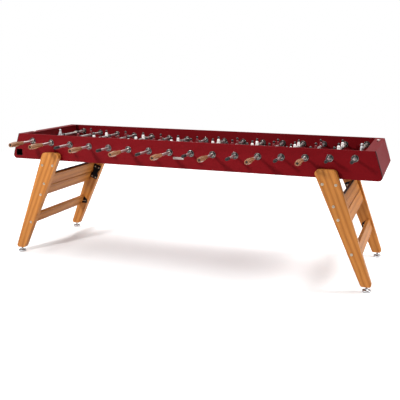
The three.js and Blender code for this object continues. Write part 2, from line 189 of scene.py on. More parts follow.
class Finish:
    """A Principled material, with short ways to add texture nodes to it."""

    def __init__(self, name, **values):
        self.material = FINISHES[name] = bpy.data.materials.new(name)
        self.material.use_nodes = True
        self.tree = self.material.node_tree
        self.surface = self.tree.nodes["Principled BSDF"]
        for socket, value in values.items():
            self.surface.inputs[socket.replace("_", " ")].default_value = value
        self.here = self.node("TexCoord").outputs["Object"]

    def node(self, kind, **settings):
        made = self.tree.nodes.new("ShaderNode" + kind)
        for name, value in settings.items():
            setattr(made, name, value)
        return made

    def feed(self, socket, value):
        if isinstance(value, bpy.types.NodeSocket):
            self.tree.links.new(value, socket)
        else:
            socket.default_value = value

    def fed(self, kind, operation, values):
        made = self.node(kind, operation=operation)
        for socket, value in zip(made.inputs, values):
            self.feed(socket, value)
        return made

    def math(self, operation, *values):
        return self.fed("Math", operation, values).outputs[0]

    def vector(self, operation, *values):
        made = self.fed("VectorMath", operation, values)
        return made.outputs["Value" if operation == "LENGTH" else "Vector"]

    def noise(self, scale, detail, where=None):
        """Noise, with scale as cells per metre along X, Y and Z."""
        made = self.node("TexNoise")
        self.feed(made.inputs["Vector"], self.vector("MULTIPLY", where or self.here, scale))
        made.inputs["Scale"].default_value = 1.0
        made.inputs["Detail"].default_value = detail
        return made.outputs["Fac"]

    def ramp(self, factor, *stops):
        """Colour or value picked from (position, colour) stops."""
        made = self.node("ValToRGB")
        self.feed(made.inputs["Fac"], factor)
        elements = made.color_ramp.elements
        while len(elements) < len(stops):
            elements.new(0.5)
        for element, (position, colour) in zip(elements, stops):
            element.position = position
            element.color = colour if isinstance(colour, tuple) else (colour,) * 3 + (1.0,)
        return made.outputs["Color"]

    def mix(self, factor, first, second, blend="MIX"):
        made = self.node("Mix", data_type="RGBA", blend_type=blend)
        self.feed(made.inputs["Factor"], factor)
        self.feed(made.inputs["A"], first)
        self.feed(made.inputs["B"], second)
        return made.outputs["Result"]

    def edge(self, amount, grain=60.0):
        """Patchy mask of the rounded edges, for wear."""
        mask = self.node("Attribute", attribute_name="edge").outputs["Fac"]
        patches = self.ramp(self.noise((grain,) * 3, 4.0), (0.35, 0.0), (0.65, 1.0))
        return self.math("MULTIPLY", self.math("MULTIPLY", mask, patches), amount)

    def axis(self, name):
        """One coordinate of the place on the piece."""
        split = self.node("SeparateXYZ")
        self.feed(split.inputs[0], self.here)
        return split.outputs[name]

    def band(self, value, low, high):
        """1 where value lies between low and high."""
        above = self.math("GREATER_THAN", value, low)
        return self.math("MULTIPLY", above, self.math("LESS_THAN", value, high))

    def colour(self, value):
        self.feed(self.surface.inputs["Base Color"], value)

    def roughness(self, factor, low, high):
        self.feed(self.surface.inputs["Roughness"], self.math("MULTIPLY_ADD", factor, high - low, low))

    def bump(self, height, depth):
        """Relief of a height from 0 to 1, with its depth in metres."""
        made = self.node("Bump")
        made.inputs["Strength"].default_value = 1.0
        made.inputs["Distance"].default_value = depth
        self.feed(made.inputs["Height"], height)
        self.feed(self.surface.inputs["Normal"], made.outputs["Normal"])


def powder_coat(name, *colours):
    """Sprayed and baked coat: slow drift of tone, fine orange peel and a little edge wear."""
    deep, bright, worn, sheen = (srgb(*colour) for colour in colours)
    finish = Finish(name, Specular_IOR_Level=0.45, Specular_Tint=sheen)
    drift = finish.noise((3.0, 3.0, 3.0), 4.0)
    tone = finish.ramp(drift, (0.3, deep), (0.7, bright))
    speckle = finish.ramp(finish.noise((900.0,) * 3, 2.0), (0.35, 0.86), (0.65, 1.0))
    tone = finish.mix(1.0, tone, speckle, "MULTIPLY")
    finish.colour(finish.mix(finish.edge(0.15), tone, worn))
    peel = finish.noise((700.0,) * 3, 2.0)
    finish.roughness(peel, 0.36, 0.52)
    finish.bump(peel, 0.00012)


def wood(name, *colours, ring, roughness=(0.45, 0.62)):
    """Solid timber with its grain along the piece's own X: growth rings, fibres and open pores."""
    light, middle, dark = (srgb(*colour) for colour in colours)
    finish = Finish(name, Specular_IOR_Level=0.25)
    shift = finish.vector("SCALE", (7.0, 3.0, 5.0))
    finish.feed(shift.node.inputs["Scale"], finish.node("ObjectInfo").outputs["Random"])
    place = finish.vector("ADD", finish.here, shift)
    wander = finish.noise((2.2, 14.0, 14.0), 3.0, place)
    pith = finish.vector("SUBTRACT", finish.vector("MULTIPLY", finish.here, (0, 1, 1)), (0, 0.10, 0.07))
    radius = finish.math("MULTIPLY_ADD", wander, 0.030, finish.vector("LENGTH", pith))
    rings = finish.math("PINGPONG", finish.math("DIVIDE", radius, ring), 1.0)
    tone = finish.ramp(rings, (0.05, dark), (0.4, middle), (0.9, light))
    broad = finish.ramp(finish.noise((1.5, 10.0, 10.0), 2.0, place), (0.3, 0.80), (0.7, 1.0))
    fibres = finish.ramp(finish.noise((14.0, 420.0, 420.0), 3.0, place), (0.3, 0.78), (0.6, 1.0))
    tone = finish.mix(0.55, middle, tone)
    tone = finish.mix(1.0, tone, broad, "MULTIPLY")
    tone = finish.mix(0.8, tone, fibres, "MULTIPLY")
    pores = finish.ramp(finish.noise((60.0, 1500.0, 1500.0), 2.0, place), (0.30, 0.0), (0.40, 1.0))
    tone = finish.mix(finish.math("MULTIPLY_ADD", pores, -0.35, 0.35), tone, dark)
    finish.colour(finish.mix(finish.edge(0.4, 30.0), tone, light))
    finish.roughness(fibres, roughness[1], roughness[0])
    finish.bump(finish.math("MULTIPLY", pores, finish.math("MULTIPLY_ADD", fibres, 0.5, 0.5)), 0.00025)


def metal(name, colour, roughness, marks):
    """Bare metal with machining marks; marks is cells per metre along X, Y and Z."""
    finish = Finish(name, Metallic=1.0)
    lines = finish.noise(marks, 4.0)
    smudges = finish.noise((25.0,) * 3, 3.0)
    shade = finish.ramp(smudges, (0.3, 0.9), (0.7, 1.0))
    finish.colour(finish.mix(1.0, srgb(*colour), shade, "MULTIPLY"))
    both = finish.math("MULTIPLY_ADD", smudges, 0.5, finish.math("MULTIPLY", lines, 0.5))
    finish.roughness(both, *roughness)
    finish.bump(lines, 0.00002)


def moulded(name, colour, roughness, depth=0.00008, dust=0.04, shine=0.5):
    """Moulded rubber or plastic: fine grain and a trace of dust."""
    finish = Finish(name, Specular_IOR_Level=shine)
    grains = finish.noise((1200.0,) * 3, 2.0)
    patches = finish.math("MULTIPLY", finish.noise((30.0,) * 3, 4.0), dust)
    finish.colour(finish.mix(patches, srgb(*colour), srgb(150, 145, 140)))
    finish.roughness(grains, *roughness)
    finish.bump(grains, depth)


def enamel(name, shirt, shorts=None):
    """Brushed enamel on a cast figure: shirt, shorts, socks and boots by height, slightly uneven."""
    finish = Finish(name, Coat_Weight=0.3, Coat_Roughness=0.2)
    tone = srgb(*shirt)
    if shorts:
        height = finish.axis("Z")
        tone = finish.mix(finish.band(height, *SHORTS), tone, srgb(*shorts))
        tone = finish.mix(finish.band(height, -FIGURE_REACH, BOOT_TOP), tone, srgb(22, 22, 24))
    uneven = finish.noise((260.0,) * 3, 3.0)
    finish.colour(finish.mix(1.0, tone, finish.ramp(uneven, (0.3, 0.86), (0.7, 1.0)), "MULTIPLY"))
    finish.roughness(uneven, 0.28, 0.45)
    finish.bump(uneven, 0.0002)


def laminate(name):
    """Playfield: dark laminate with a pale border, halfway line, centre circle and goal areas."""
    finish = Finish(name, Specular_IOR_Level=0.3, Coat_Weight=0.05, Coat_Roughness=0.3)
    along = finish.math("ABSOLUTE", finish.axis("X"))
    across = finish.math("ABSOLUTE", finish.axis("Y"))
    distance = finish.vector("LENGTH", finish.vector("MULTIPLY", finish.here, (1, 1, 0)))

    def both(first, second):
        return finish.math("MULTIPLY", first, second)

    def below(value, limit):
        return finish.math("LESS_THAN", value, limit)

    lines = [
        finish.band(distance, CENTRE_CIRCLE_R - LINE, CENTRE_CIRCLE_R),
        below(distance, CENTRE_SPOT_R),
        both(below(along, LINE / 2), below(across, PITCH_HALF_Y)),
        both(finish.band(across, PITCH_HALF_Y - LINE, PITCH_HALF_Y), below(along, PITCH_HALF_X)),
        both(finish.band(along, PITCH_HALF_X - LINE, PITCH_HALF_X), below(across, PITCH_HALF_Y)),
    ]
    for depth, half in GOAL_AREAS:
        front = PITCH_HALF_X - depth
        lines.append(both(finish.band(along, front, front + LINE), below(across, half)))
        side = finish.band(across, half - LINE, half)
        lines.append(both(side, finish.band(along, front, PITCH_HALF_X)))
    marks = lines[0]
    for line in lines[1:]:
        marks = finish.math("MAXIMUM", marks, line)
    drift = finish.noise((4.0,) * 3, 4.0)
    base = finish.ramp(drift, (0.3, srgb(62, 16, 20)), (0.7, srgb(76, 21, 26)))
    scuffs = finish.ramp(finish.noise((60.0, 8.0, 60.0), 5.0), (0.58, 0.0), (0.75, 1.0))
    base = finish.mix(finish.math("MULTIPLY", scuffs, 0.12), base, srgb(150, 120, 120))
    finish.colour(finish.mix(marks, base, srgb(214, 205, 196)))
    finish.roughness(scuffs, 0.45, 0.60)
    finish.bump(finish.noise((1600.0,) * 3, 2.0), 0.00004)


powder_coat("cabinet_red", (93, 7, 12), (101, 9, 15), (150, 60, 66), (255, 88, 98))
powder_coat("black_steel", (9, 9, 10), (13, 13, 14), (60, 60, 62), (120, 125, 135))
laminate("playfield_laminate")
wood("teak", (201, 133, 62), (185, 115, 45), (146, 83, 28), ring=0.016)
wood("grip_wood", (180, 132, 98), (146, 100, 70), (94, 60, 40), ring=0.005, roughness=(0.22, 0.36))
metal("rod_steel", (206, 201, 199), (0.34, 0.46), (30.0, 2600.0, 30.0))
metal("bush_brass", (186, 180, 170), (0.22, 0.40), (60.0, 1800.0, 60.0))
metal("flange_aluminium", (124, 120, 119), (0.20, 0.34), (700.0,) * 3)
metal("bolt_steel", (180, 170, 154), (0.22, 0.40), (900.0,) * 3)
metal("foot_steel", (208, 209, 212), (0.14, 0.30), (60.0, 60.0, 1500.0))
metal("badge_plate", (150, 138, 134), (0.34, 0.46), (40.0, 900.0, 2400.0))
moulded("cap_rubber", (13, 12, 13), (0.38, 0.52), dust=0.02, shine=0.3)
moulded("bumper_rubber", (84, 82, 80), (0.45, 0.62))
moulded("foot_rubber", (30, 30, 31), (0.50, 0.70))
moulded("marker_plastic", (240, 228, 222), (0.22, 0.34), depth=0.00003, dust=0.05)
enamel("figure_white", (250, 248, 245), (34, 34, 38))
enamel("figure_red", (112, 20, 28), (34, 30, 32))
enamel("figure_grey", (196, 196, 198), (40, 40, 44))
enamel("figure_black", (28, 26, 26))


# ---- shapes
def rounded(corners, closed=True, steps=6):
    """Points of a line through (x, y, r) corners, each turned by an arc of radius r."""
    line = []
    for i, (x, y, r) in enumerate(corners):
        here = Vector((x, y))
        if r == 0 or not closed and i in (0, len(corners) - 1):
            line.append(here)
            continue
        back = (Vector(corners[i - 1][:2]) - here).normalized()
        onward = (Vector(corners[(i + 1) % len(corners)][:2]) - here).normalized()
        half = back.angle(onward) / 2
        centre = here + (back + onward).normalized() * r / math.sin(half)
        start = here + back * r / math.tan(half) - centre
        end = here + onward * r / math.tan(half) - centre
        first = math.atan2(start.y, start.x)
        sweep = (math.atan2(end.y, end.x) - first + math.pi) % (2 * math.pi) - math.pi
        for k in range(steps + 1):
            angle = first + sweep * k / steps
            line.append(centre + r * Vector((math.cos(angle), math.sin(angle))))
    return line


def rectangle(x0, y0, x1, y1, r=0.0, steps=6):
    return rounded([(x0, y0, r), (x1, y0, r), (x1, y1, r), (x0, y1, r)], steps=steps)


def circle(x, y, r, count=32):
    turns = (2 * math.pi * k / count for k in range(count))
    return [Vector((x + r * math.cos(a), y + r * math.sin(a))) for a in turns]


def at(x, y, z):
    return Matrix.Translation((x, y, z))


def added(name, data):
    """A new object in the scene."""
    piece = bpy.data.objects.new(name, data)
    scene.collection.objects.link(piece)
    return piece


def written(shape, name):
    """The mesh of a bmesh, which is freed."""
    mesh = bpy.data.meshes.new(name)
    shape.to_mesh(mesh)
    shape.free()
    return mesh


def applied(piece):
    """The mesh an object shows, with its modifiers applied. The object goes."""
    mesh = bpy.data.meshes.new_from_object(piece.evaluated_get(bpy.context.evaluated_depsgraph_get()))
    bpy.data.objects.remove(piece)
    return mesh


def tidy(mesh):
    """Merges shared corners and turns every face outward."""
    shape = bmesh.new()
    shape.from_mesh(mesh)
    bmesh.ops.remove_doubles(shape, verts=shape.verts, dist=1e-6)
    bmesh.ops.recalc_face_normals(shape, faces=shape.faces)
    shape.to_mesh(mesh)
    shape.free()
    return mesh


def plate(outline, holes=(), thickness=SHEET, edge=0.0008):
    """Flat plate in X and Y, from z = 0 up to its thickness, with rounded edges."""
    curve = bpy.data.curves.new("plate", "CURVE")
    curve.dimensions = "2D"
    curve.fill_mode = "BOTH"
    curve.extrude = thickness / 2 - edge
    curve.bevel_depth = edge
    curve.bevel_resolution = 2
    curve.offset = -edge
    for loop in (outline, *holes):
        spline = curve.splines.new("POLY")
        spline.points.add(len(loop) - 1)
        for point, (x, y) in zip(spline.points, loop):
            point.co = (x, y, 0, 1)
        spline.use_cyclic_u = True
    shape = bpy.data.objects.new("plate", curve)
    mesh = bpy.data.meshes.new_from_object(shape)
    bpy.data.objects.remove(shape)
    mesh.transform(at(0, 0, thickness / 2))
    tidy(mesh)
    rim = mesh.attributes.new("edge", "FLOAT", "POINT")
    for vertex in mesh.vertices:
        depth = min(vertex.co.z, thickness - vertex.co.z)
        rim.data[vertex.index].value = 1.0 if depth > edge / 10 else 0.0
    return mesh


def lathe(profile, closed=False, segments=48):
    """Turned shape round the Y axis from (radius, y) points. Radius 0 closes an end."""
    shape = bmesh.new()
    rings = []
    for radius, y in profile:
        if radius < 1e-7:
            rings.append([shape.verts.new((0, y, 0))])
            continue
        turns = (2 * math.pi * k / segments for k in range(segments))
        rings.append([shape.verts.new((radius * math.cos(a), y, radius * math.sin(a))) for a in turns])
    pairs = list(zip(rings, rings[1:])) + ([(rings[-1], rings[0])] if closed else [])
    for first, second in pairs:
        for k in range(segments):
            corners = [first[k % len(first)], first[(k + 1) % len(first)]]
            corners += [second[(k + 1) % len(second)], second[k % len(second)]]
            shape.faces.new(dict.fromkeys(corners))
    bmesh.ops.recalc_face_normals(shape, faces=shape.faces)
    return written(shape, "lathe")


def lathe_up(profile, **settings):
    """The same round the Z axis, from (radius, z) points."""
    mesh = lathe(profile, **settings)
    mesh.transform(Matrix.Rotation(math.pi / 2, 4, "X"))
    return mesh


def loft(sections):
    """Closed body through level sections (x, y, z, half x, half y), each a rounded oblong."""
    sides, power = 28, 2.4
    shape = bmesh.new()
    rings = []
    for x, y, z, half_x, half_y in sections:
        ring = []
        for k in range(sides):
            c, s = math.cos(2 * math.pi * k / sides), math.sin(2 * math.pi * k / sides)
            px = half_x * math.copysign(abs(c) ** (2 / power), c)
            py = half_y * math.copysign(abs(s) ** (2 / power), s)
            ring.append(shape.verts.new((x + px, y + py, z)))
        rings.append(ring)
    for first, second in zip(rings, rings[1:]):
        for k in range(sides):
            n = (k + 1) % sides
            shape.faces.new((first[k], first[n], second[n], second[k]))
    shape.faces.new(rings[0])
    shape.faces.new(rings[-1])
    bmesh.ops.recalc_face_normals(shape, faces=shape.faces)
    return written(shape, "loft")


def ball(x, y, z, rx, ry, rz):
    shape = bmesh.new()
    bmesh.ops.create_uvsphere(shape, u_segments=24, v_segments=16, radius=1.0)
    mesh = written(shape, "ball")
    mesh.transform(at(x, y, z) @ Matrix.Diagonal((rx, ry, rz, 1)))
    return mesh


def merged(parts):
    """One mesh from (mesh, matrix) parts."""
    shape = bmesh.new()
    for mesh, matrix in parts:
        moved = mesh.copy()
        moved.transform(matrix)
        shape.from_mesh(moved)
        bpy.data.meshes.remove(moved)
    return written(shape, "merged")


def fused(parts, voxel, keep):
    """One smooth closed skin over overlapping parts, thinned to a share of its faces."""
    shape = added("fused", merged([(part, Matrix()) for part in parts]))
    skin = shape.modifiers.new("skin", "REMESH")
    skin.mode = "VOXEL"
    skin.voxel_size = voxel
    smooth = shape.modifiers.new("smooth", "SMOOTH")
    smooth.factor = 0.5
    smooth.iterations = 3
    thin = shape.modifiers.new("thin", "DECIMATE")
    thin.ratio = keep
    return applied(shape)


def standing(mesh, direction, x, z, y):
    """(mesh, matrix) that stands a plate's +Z along the given way on Y (-1 or 1), at a place."""
    turn = Matrix.Rotation(-direction * math.pi / 2, 4, "X")
    return mesh, at(x, y, z) @ turn


def show(name, mesh, finish, body, place=Matrix(), replaces=(), corner=40):
    """Adds a mesh as one piece that rides on a body. Its finish is the record's slot."""
    if not mesh.materials:
        mesh.materials.append(FINISHES[finish])
        mesh.shade_smooth()
        mesh.set_sharp_from_angle(angle=math.radians(corner))
    piece = added(name, mesh)
    piece.matrix_world = place
    level = piece.modifiers.new("level", "WEIGHTED_NORMAL")
    level.keep_sharp = True
    level.weight = 100
    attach(piece, body)
    if replaces:
        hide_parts(*replaces)
    return piece


def upright(sign):
    """Takes a plate's own X, Y and Z to world X, Z and the side's outward Y."""
    return Matrix(((1, 0, 0, 0), (0, 0, sign, 0), (0, 1, 0, 0), (0, 0, 0, 1)))


# ---- rods, as the frame has them
class Rod:
    """One rod: its place, side, rest offset along Y and number of figures."""

    def __init__(self, number):
        self.name = f"rod_{number:02d}"
        self.bush = f"bush_{number:02d}"
        joints = {joint["name"]: joint for joint in frame["joints"]}
        self.x, _, self.z = joints[f"{self.name}_spin"]["pos_m"]
        self.y = -sum(joints[f"{self.name}_slide"]["range_m"]) / 2
        self.side = math.copysign(1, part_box(self.bush)[0].y)

    def matrix(self, y=None):
        """The rod's own frame, with its grip towards -Y and its team facing +X; y moves it along."""
        turn = TURN if self.side > 0 else Matrix()
        return at(self.x, self.y if y is None else y, self.z) @ turn


RODS = [Rod(number) for number in range(1, 17)]
for side in (-1, 1):
    team = sorted((rod for rod in RODS if rod.side == side), key=lambda rod: -side * rod.x)
    for rod, count in zip(team, TEAM_FIGURES):
        rod.figures = count
        rod.shirt = "figure_grey" if count == 1 else "figure_red" if side < 0 else "figure_white"


# ---- cabinet
def side_panel():
    """Near side panel, drawn in X and Z with its outer face up."""
    rim, base, r = RIM_HALF_LENGTH - SHADE_STRIP, BASE_HALF_LENGTH - SHADE_STRIP, CORNER_R - SHADE_STRIP / 2
    corners = [(-rim, RIM_Z, FOLD_R), (-base, BASE_Z, r), (base, BASE_Z, r), (rim, RIM_Z, FOLD_R)]
    holes = [circle(rod.x, rod.z, HOLE_R) for rod in RODS]
    holes.append(mouth_outline(0))
    return plate(rounded(corners, steps=10), holes, WALL_OUT - WALL_IN, 0.0016)


def end_shade_strip():
    """Black strip round the left end of the near side panel, drawn in X and Z. It is painted shade for the dark
    seam line there, in the cap rubber finish.
    """
    lines = []
    for inset, r in ((0, CORNER_R), (SHADE_STRIP - GAP, CORNER_R - SHADE_STRIP / 2)):
        corners = [
            (-RIM_HALF_LENGTH + inset, RIM_Z, 0),
            (-BASE_HALF_LENGTH + inset, BASE_Z, r),
            (-BASE_HALF_LENGTH + SHADE_STRIP_RETURN, BASE_Z + inset / SHADE_STRIP_THINNING, 0),
        ]
        lines.append(rounded(corners, closed=False, steps=10))
    outer, inner = lines
    return plate([*outer, *reversed(inner)], (), WALL_OUT - WALL_IN - SHADE_STRIP_SETBACK, 0.0003)


def mouth_outline(inset):
    """Outline in X and Z, this far inside the ball mouth's hole."""
    spare = MOUTH_MARGIN - inset
    corners = MOUTH_LOW.x - spare, MOUTH_LOW.z - spare, MOUTH_HIGH.x + spare, MOUTH_HIGH.z + spare
    return rectangle(*corners, MOUTH_R - inset)


def end_panel():
    """Left deck, sloping end and return, folded from one sheet; drawn in X and Z."""
    lean = math.atan2(RIM_Z - BASE_Z, BASE_HALF_LENGTH - RIM_HALF_LENGTH)
    fold_shift = SHEET * math.tan(lean / 2)
    base_shift = SHEET / math.tan(lean / 2)
    corners = [
        (-DECK_EDGE_X, RIM_Z, 0),
        (-RIM_HALF_LENGTH, RIM_Z, FOLD_R),
        (-BASE_HALF_LENGTH, BASE_Z, CORNER_R),
        (-BASE_FOLD_X, BASE_Z, 0),
        (-BASE_FOLD_X, BASE_Z + SHEET, 0),
        (-BASE_HALF_LENGTH + base_shift, BASE_Z + SHEET, CORNER_R - SHEET),
        (-RIM_HALF_LENGTH + fold_shift, RIM_Z - SHEET, FOLD_R - SHEET),
        (-DECK_EDGE_X, RIM_Z - SHEET, 0),
    ]
    return plate(rounded(corners, steps=10), (), 2 * (WALL_IN - GAP), 0.0009)


def carved(mesh, place, cutter):
    """A mesh that stands at a place, with a cutter in the table's own axes taken away from it."""
    body, tool = added("body", mesh), added("tool", cutter)
    body.matrix_world = place
    cut = body.modifiers.new("cut", "BOOLEAN")
    cut.object = tool
    cut.solver = "EXACT"
    result = applied(body)
    bpy.data.objects.remove(tool)
    return result


def marker_slot(mesh, place):
    """Cuts the score marker's slot through the deck."""
    half_x, half_y = SLOT_HALVES
    outline = rectangle(MARKER_X - half_x, MARKER_Y - half_y, MARKER_X + half_x, MARKER_Y + half_y, 0.003)
    cutter = plate(outline, (), 4 * SHEET, 0.0002)
    cutter.transform(at(0, 0, RIM_Z - 2 * SHEET))
    return carved(mesh, place, cutter)


def goal_wall():
    """Left end wall of the playing space, drawn in Y and Z, with the goal cut through it."""
    low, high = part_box("goal_wall_left")
    goal = rectangle(-GOAL_HALF_WIDTH, GOAL_SILL, GOAL_HALF_WIDTH, GOAL_TOP, FOLD_R)
    return plate(rectangle(low.y, low.z, high.y, high.z), [goal], SHEET, 0.0008)


def score_marker():
    """Rounded button with a finger ridge, on a flat shank with a keeper under the deck."""
    layers = (  # half X, half Y, corner radius, thickness, edge radius and height of its underside
        (0.010, 0.007, 0.003, 0.0047, 0.0012, GAP),
        (0.0015, 0.0055, 0.0014, 0.0008, 0.0003, 0.0046),
        (0.003, 0.007, 0.0, 0.0038, 0.0002, -0.0034),
        (0.007, 0.007, 0.001, 0.0025, 0.0004, -0.0058),
    )
    return merged(
        [
            (plate(rectangle(-x, -y, x, y, r), (), thickness, edge), at(0, 0, z))
            for x, y, r, thickness, edge, z in layers
        ]
    )


def build_cabinet():
    panel, folded, wall, marker = side_panel(), end_panel(), goal_wall(), score_marker()
    outward, middle, on_face = (at(0, y, 0) @ upright(-1) for y in (-WALL_IN, WALL_IN - GAP, -WALL_OUT))
    folded = marker_slot(folded, middle)
    edge, inner_edge = (mouth_outline(inset) for inset in LINER_EDGES)
    liner = plate(edge, [inner_edge], LINER_DEPTH, 0.0005)
    badge = plate(rectangle(*BADGE, 0.003), (), BADGE_RISE, 0.0004)
    rivet = lathe([(0, 0.0022), (0.0012, 0.0020), (0.0022, 0.0012), (0.0022, 0), (0, 0)], segments=20)
    left, low, right, high = BADGE
    rivets = merged([(rivet, at(x, 0, (low + high) / 2)) for x in (left + RIVET_INSET, right - RIVET_INSET)])
    on_badge = at(0, -WALL_OUT - BADGE_RISE, 0) @ Matrix.Diagonal((1, -1, 1, 1))
    wall_place = Matrix(((0, 0, -1, -GOAL_WALL_X), (1, 0, 0, 0), (0, 1, 0, 0), (0, 0, 0, 1)))
    marker_place = at(MARKER_X, MARKER_Y, RIM_Z)
    # black strips for the panels' ends: painted shade for the dark seam lines there
    shade_strip = end_shade_strip()
    for side, goal, other, turn in HALVES:
        show(f"panel_{side}", panel, "cabinet_red", "table", turn @ outward, [f"side_panel_{side}"])
        show(f"end_{goal}", folded, "cabinet_red", "table", turn @ middle, [f"end_panel_{goal}"])
        show(f"goal_{goal}", wall, "cabinet_red", "table", turn @ wall_place, [f"goal_wall_{goal}"])
        show(f"mouth_liner_{goal}", liner, "black_steel", "table", turn @ outward)
        for end, way in ((goal, 1), (other, -1)):
            mirrored = outward @ Matrix.Diagonal((way, 1, 1, 1))
            show(f"end_seal_{side}_{end}", shade_strip, "cap_rubber", "table", turn @ mirrored)
        show(f"badge_{side}", badge, "badge_plate", "table", turn @ on_face)
        show(f"badge_rivets_{side}", rivets, "bolt_steel", "table", turn @ on_badge)
        name = f"score_marker_{goal}"
        show(f"marker_{goal}", marker, "marker_plastic", name, turn @ marker_place, [name])


def dress_cad_nodes():
    """Finishes for the CAD nodes whose shape is already right."""
    plain = {"playfield": "playfield_laminate", "floor_pan": "cabinet_red"}
    for end in ("left", "right"):
        plain[f"ball_chute_{end}"] = "black_steel"
        plain[f"cross_beam_{end}"] = "black_steel"
    for node, finish in plain.items():
        piece = frame["nodes"][node]
        if not piece.data.materials:
            piece.data.materials.append(None)
        for slot in piece.material_slots:
            slot.link = "OBJECT"
            slot.material = FINISHES[finish]


# ---- bearing flanges
def flange_window(middle):
    """Outline of the opening between two spokes: an arc round the hub and a wider one by the rim."""
    outline = []
    for (reach, half), way in zip(WINDOW_ARCS, (1, -1)):
        for k in range(-5, 6):
            a = middle + way * math.radians(half) * k / 5
            outline.append(Vector((reach * math.cos(a), reach * math.sin(a))))
    return outline


def flange(bore, rise, hub_rise):
    """Three-spoked flange lying on z = 0, with a hub round the rod."""
    windows = [flange_window(angle + math.pi / 3) for angle in SPOKE_ANGLES]
    holes = [circle(0, 0, bore), *windows]
    disc = plate(circle(0, 0, FLANGE_R, 48), holes, rise - GASKET_LIFT, 0.0007)
    foot = 0.001
    rim = [(HUB_R, foot, 0), (HUB_R, hub_rise, 0.0006), (bore, hub_rise, 0.0004), (bore, foot, 0)]
    hub = lathe_up(rounded(rim, steps=3), closed=True, segments=40)
    return merged([(disc, at(0, 0, GASKET_LIFT)), (hub, Matrix())])


def screw_head(r, rise):
    """Button head on z = 0 with a socket."""
    socket, depth = 0.42 * r, 0.55 * rise
    profile = [(0, rise - depth), (socket, rise - depth), (socket, rise), (0.6 * r, 0.96 * rise)]
    profile += [(0.88 * r, 0.6 * rise), (r, 0.15 * rise), (r, 0), (0, 0)]
    return lathe_up(profile, segments=18)


def build_flanges():
    gasket = plate(circle(0, 0, FLANGE_R - 0.001, 40), [circle(0, 0, HOLE_R - 0.0001)], GASKET, 0.0003)
    head = screw_head(SCREW_R, SCREW_RISE)
    spots = [(SCREW_REACH * math.cos(a), SCREW_REACH * math.sin(a)) for a in SPOKE_ANGLES]
    for wall in (-1, 1):
        for face, y, direction in (("outer", WALL_OUT, wall), ("inner", WALL_IN, -wall)):
            rise, hub_rise = FLANGE_FACES[face]
            sleeved, plain = (flange(bore, rise, hub_rise) for bore in FLANGE_BORES)
            screws = merged([(head, at(*spot, rise)) for spot in spots])
            for label, finish, shape in (
                ("flanges", "flange_aluminium", None),
                ("gaskets", "cap_rubber", gasket),
                ("flange_screws", "bolt_steel", screws),
            ):
                parts = []
                for rod in RODS:
                    own = shape or (sleeved if rod.side == wall else plain)
                    parts.append(standing(own, direction, rod.x, rod.z, wall * y))
                name = f"{label}_{'near' if wall < 0 else 'far'}_{face}"
                show(name, merged(parts), finish, "table")


# ---- rods
def rod_tube():
    """Steel tube from inside the grip to inside the cap, with a chamfer at each end."""
    start, end, chamfer = GRIP_END + 0.012, CAP_END - 0.006, 0.001
    profile = [(0, start), (ROD_R - chamfer, start), (ROD_R, start + chamfer)]
    profile += [(ROD_R, end - chamfer), (ROD_R - chamfer, end), (0, end)]
    return lathe(profile)


def sleeve():
    """Turning sleeve in the near wall that the rod slides through, with rounded rims."""
    bore, out, back = ROD_R + SLEEVE_PLAY, BUSH_LOW.y, BUSH_HIGH.y
    rim = [(bore, out, 0.0004), (BUSH_R, out, 0.0005), (BUSH_R, back, 0.0005), (bore, back, 0.0004)]
    return lathe(rounded(rim, steps=3), closed=True)


def wave_radius(t, marks):
    """Radius at t along a grip, eased between (t, radius) marks."""
    for (t0, r0), (t1, r1) in zip(marks, marks[1:]):
        if t <= t1:
            share = (t - t0) / (t1 - t0)
            return r0 + (r1 - r0) * (3 - 2 * share) * share**2
    return marks[-1][1]


def grip():
    """Turned wooden barrel with a recess in its outer end and a bead at its inner end."""
    marks = ((0.0, 0.0146), (0.36, 0.0180), (0.86, 0.0126), (0.90, 0.0118), (0.95, 0.0128), (1.0, 0.0120))
    end, first, last, steps = GRIP_END, 0.05, 0.985, 28
    profile = [(0, end + 0.006), (0.0078, end + 0.006), (0.0082, end + 0.0012), (0.0090, end)]
    profile += [(0.0118, end), (0.0136, end + 0.0010), (0.0145, end + 0.0032)]
    for k in range(steps + 1):
        t = first + (last - first) * k / steps
        profile.append((wave_radius(t, marks), end + t * GRIP_LENGTH))
    profile += [(0.0108, end + GRIP_LENGTH), (0, end + GRIP_LENGTH)]
    return lathe(profile)


def grip_bolt():
    """Dark cap of the bolt in the grip's recess."""
    end = GRIP_END
    profile = [(0, end + 0.0026), (0.0026, end + 0.0026), (0.0056, end + 0.0032), (0.0060, end + 0.0060)]
    return lathe([*profile, (0, end + 0.0064)], segments=24)


def end_cap():
    """Rubber cap with a domed end, a lip and three grip rings."""
    end, start = CAP_END, CAP_END - CAP_LENGTH
    r, lip_r, ring_r = 0.0098, 0.0105, 0.0104
    corners = [(0, start, 0), (lip_r, start, 0.0008), (lip_r, start + 0.004, 0.0008)]
    corners.append((r, start + 0.005, 0.0008))
    for ring in range(3):
        y = end - 0.024 + 0.005 * ring
        corners += [(r, y, 0.0005), (ring_r, y + 0.0008, 0.0005)]
        corners += [(ring_r, y + 0.0022, 0.0005), (r, y + 0.0030, 0.0005)]
    corners += [(r, end - 0.001, 0.004), (0.005, end, 0.004), (0, end, 0)]
    return lathe(rounded(corners, closed=False, steps=3), segments=40)


def rings(corners, starts):
    """Copies of one turned ring along the rod."""
    ring = lathe(rounded(corners, closed=False, steps=3), closed=True, segments=40)
    return merged([(ring, at(0, y, 0)) for y in starts])


def bumpers():
    """A grooved rubber buffer at each end of the playing length."""
    r, length = BUMPER_R, BUMPER_OUTER - BUMPER_INNER - 2 * WASHER
    corners = [
        (ROD_R, 0, 0), (r - 0.003, 0, 0.0003), (r, 0.002, 0.0018),
        (r, length / 2 - 0.002, 0.001), (r - 0.0014, length / 2, 0.001), (r, length / 2 + 0.002, 0.001),
        (r, length - 0.002, 0.0018), (r - 0.003, length, 0.0003), (ROD_R, length, 0),
    ]
    return rings(corners, (-BUMPER_OUTER + WASHER, BUMPER_INNER + WASHER))


